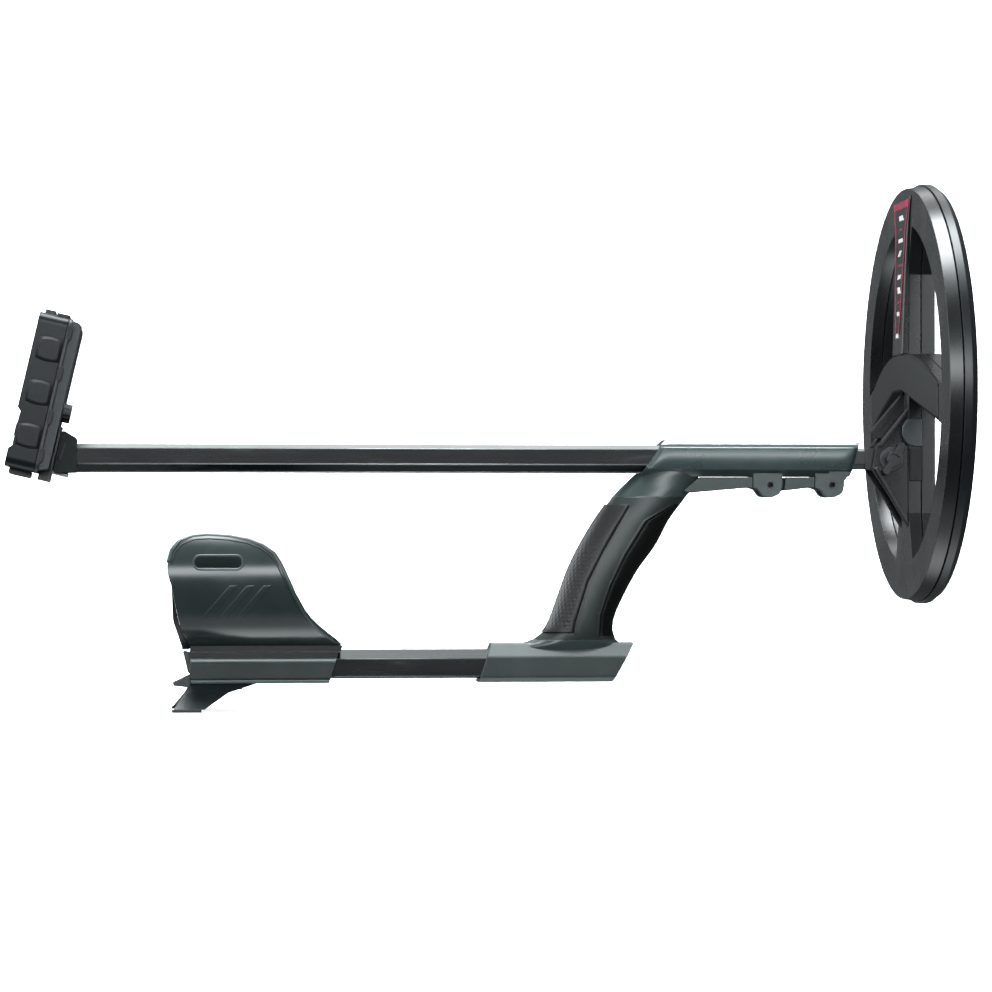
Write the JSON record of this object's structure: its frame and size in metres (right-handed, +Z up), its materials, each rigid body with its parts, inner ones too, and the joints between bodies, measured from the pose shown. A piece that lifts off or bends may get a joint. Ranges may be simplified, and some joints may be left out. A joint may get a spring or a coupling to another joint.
{
  "type": "metal detector",
  "caption": "Hand-held metal detector folded for carrying: telescopic stem, pistol grip, arm cuff with stand, tilting round search coil and docked remote control.",
  "frame": {"origin": "middle of the footprint of the collapsed detector, at the height of the stand's feet", "axes": "+X along the stem towards the search coil, +Z up, so -Y is the user's right-hand side"},
  "size_m": [0.6161, 0.281, 0.3505],
  "materials": {
    "handle_plastic": "semi-gloss moulded, dark green-grey",
    "grip_rubber": "matt moulded, fine texture",
    "stem_alloy": "dark satin anodised",
    "stem_plastic": "matt moulded",
    "rod_composite": "satin",
    "coil_plastic": "semi-gloss moulded, near black",
    "skid_plastic": "semi-gloss, lightly scuffed",
    "copper": "enamelled wire bundle",
    "circuit_board": "solder mask",
    "battery_wrap": "shrink wrap",
    "steel": "plated",
    "dark_steel": "blackened",
    "decal": "printed film, crimson and white",
    "remote_plastic": "semi-gloss, dark blue-grey",
    "lens": "clear glossy",
    "display": "dark grey-green",
    "key_rubber": "matt"
  },
  "bodies": {
    "handle": {"handle_right_half": "handle_plastic", "handle_left_half": "handle_plastic", "handle_screws": "dark_steel", "grip_overmould": "grip_rubber", "grip_rear_pad": "grip_rubber", "grip_front_pad": "grip_rubber", "lever_pins": "dark_steel", "clamp_shoes": "stem_plastic", "lower_stem_tube": "stem_alloy", "tube_plugs": "stem_plastic", "tube_end_cap": "stem_plastic"},
    "upper_stem": {"upper_stem_tube": "stem_alloy", "stem_front_bush": "stem_plastic", "stem_rear_plug": "stem_plastic", "stem_bracket": "handle_plastic", "bracket_screw": "steel", "remote_dock": "stem_plastic", "dock_screws": "steel"},
    "lower_stem": {"lower_stem_rod": "rod_composite", "rod_rear_guide": "stem_plastic", "stem_yoke": "stem_plastic", "friction_washers": "grip_rubber"},
    "search_coil": {"coil_body_shell": "coil_plastic", "coil_skid_cover": "skid_plastic", "transmit_winding": "copper", "receive_winding": "copper", "coil_board": "circuit_board", "coil_battery": "battery_wrap", "cover_screws": "steel", "spine_decal": "decal", "hinge_bolt": "stem_plastic", "bolt_washer": "stem_plastic"},
    "wing_nut": {"wing_nut": "stem_plastic"},
    "rear_lever": {"rear_clamp_lever": "handle_plastic"},
    "front_lever": {"front_clamp_lever": "handle_plastic"},
    "arm_rest": {"cuff_shell": "handle_plastic", "cuff_edge_trim": "grip_rubber", "cuff_base": "handle_plastic", "cuff_base_screws": "dark_steel", "cuff_stand": "handle_plastic", "stand_feet": "grip_rubber", "stand_screws": "dark_steel"},
    "remote": {"remote_front_shell": "remote_plastic", "remote_back_shell": "remote_plastic", "remote_side_pads": "grip_rubber", "screen_lens": "lens", "display_panel": "display", "remote_board": "circuit_board", "remote_battery": "battery_wrap", "remote_speaker": "dark_steel", "jack_socket": "stem_plastic", "top_port_caps": "grip_rubber", "charging_port": "steel", "remote_screws": "dark_steel"},
    "dock_knob": {"dock_knob": "stem_plastic"},
    "port_cover": {"port_cover": "grip_rubber"},
    "up_key": {"up_key": "key_rubber"},
    "down_key": {"down_key": "key_rubber"},
    "menu_key": {"menu_key": "key_rubber"},
    "enter_key": {"enter_key": "key_rubber"}
  },
  "joints": [
    {"name": "upper_stem_slide", "type": "slide", "parent": "handle", "child": "upper_stem", "axis": [1, 0, 0], "range_m": [0, 0.36]},
    {"name": "lower_stem_slide", "type": "slide", "parent": "upper_stem", "child": "lower_stem", "axis": [1, 0, 0], "range_m": [0, 0.33]},
    {"name": "coil_tilt", "type": "hinge", "parent": "lower_stem", "child": "search_coil", "pos_m": [0.2789, 0, 0.1661], "axis": [0, 1, 0], "range_deg": [-25, 55]},
    {"name": "wing_nut_turn", "type": "hinge", "parent": "search_coil", "child": "wing_nut", "pos_m": [0.2789, -0.018, 0.1661], "axis": [0, -1, 0], "continuous": true},
    {"name": "rear_lever_swing", "type": "hinge", "parent": "handle", "child": "rear_lever", "pos_m": [0.197, 0, 0.1487], "axis": [0, -1, 0], "range_deg": [0, 80]},
    {"name": "front_lever_swing", "type": "hinge", "parent": "handle", "child": "front_lever", "pos_m": [0.2388, 0, 0.1487], "axis": [0, -1, 0], "range_deg": [0, 80]},
    {"name": "arm_rest_slide", "type": "slide", "parent": "handle", "child": "arm_rest", "axis": [1, 0, 0], "range_m": [0, 0.06]},
    {"name": "remote_slide", "type": "slide", "parent": "upper_stem", "child": "remote", "axis": [0.225, 0, 0.9744], "range_m": [0, 0.05]},
    {"name": "dock_knob_turn", "type": "hinge", "parent": "upper_stem", "child": "dock_knob", "pos_m": [-0.27126, 0, 0.19561], "axis": [0.9744, 0, -0.225], "continuous": true},
    {"name": "port_cover_swing", "type": "hinge", "parent": "remote", "child": "port_cover", "pos_m": [-0.30495, 0, 0.15905], "axis": [0, 1, 0], "range_deg": [0, 85]},
    {"name": "up_key_press", "type": "slide", "parent": "remote", "child": "up_key", "axis": [0.9744, 0, -0.225], "range_m": [0, 0.0008], "stiffness_N_per_m": 300, "springref_m": -0.001},
    {"name": "down_key_press", "type": "slide", "parent": "remote", "child": "down_key", "axis": [0.9744, 0, -0.225], "range_m": [0, 0.0008], "stiffness_N_per_m": 300, "springref_m": -0.001},
    {"name": "menu_key_press", "type": "slide", "parent": "remote", "child": "menu_key", "axis": [0.9744, 0, -0.225], "range_m": [0, 0.0008], "stiffness_N_per_m": 300, "springref_m": -0.001},
    {"name": "enter_key_press", "type": "slide", "parent": "remote", "child": "enter_key", "axis": [0.9744, 0, -0.225], "range_m": [0, 0.0008], "stiffness_N_per_m": 300, "springref_m": -0.001}
  ]
}
